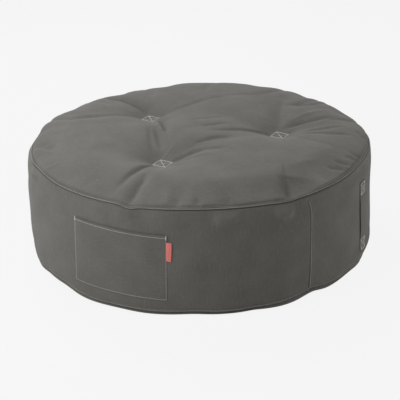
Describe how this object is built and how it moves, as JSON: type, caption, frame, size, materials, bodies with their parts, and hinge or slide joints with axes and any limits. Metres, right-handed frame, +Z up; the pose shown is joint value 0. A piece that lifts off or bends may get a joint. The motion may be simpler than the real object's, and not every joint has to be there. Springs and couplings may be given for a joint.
{
  "type": "round floor pouf",
  "caption": "Low round floor pouf: one filled canvas cushion with a tufted, crowned top, a side patch pocket with a folded ribbon tab, and a webbing carry handle.",
  "frame": {"origin": "middle of the flat base, on the surface that the pouf stands on", "axes": "+Z up; the pocket faces -Y; +X from the middle to the carry handle"},
  "size_m": [1.0215, 1.0135, 0.3416],
  "materials": {
    "canvas": "plain-weave canvas, matt warm grey",
    "ribbon": "folded coral-red ribbon, satin",
    "webbing": "woven strap, matt grey",
    "thread": "light grey stitching thread"
  },
  "bodies": {
    "root": {"cushion": "canvas", "side_pocket": "canvas", "pocket_tab": "ribbon", "carry_handle": "webbing"}
  },
  "joints": []
}
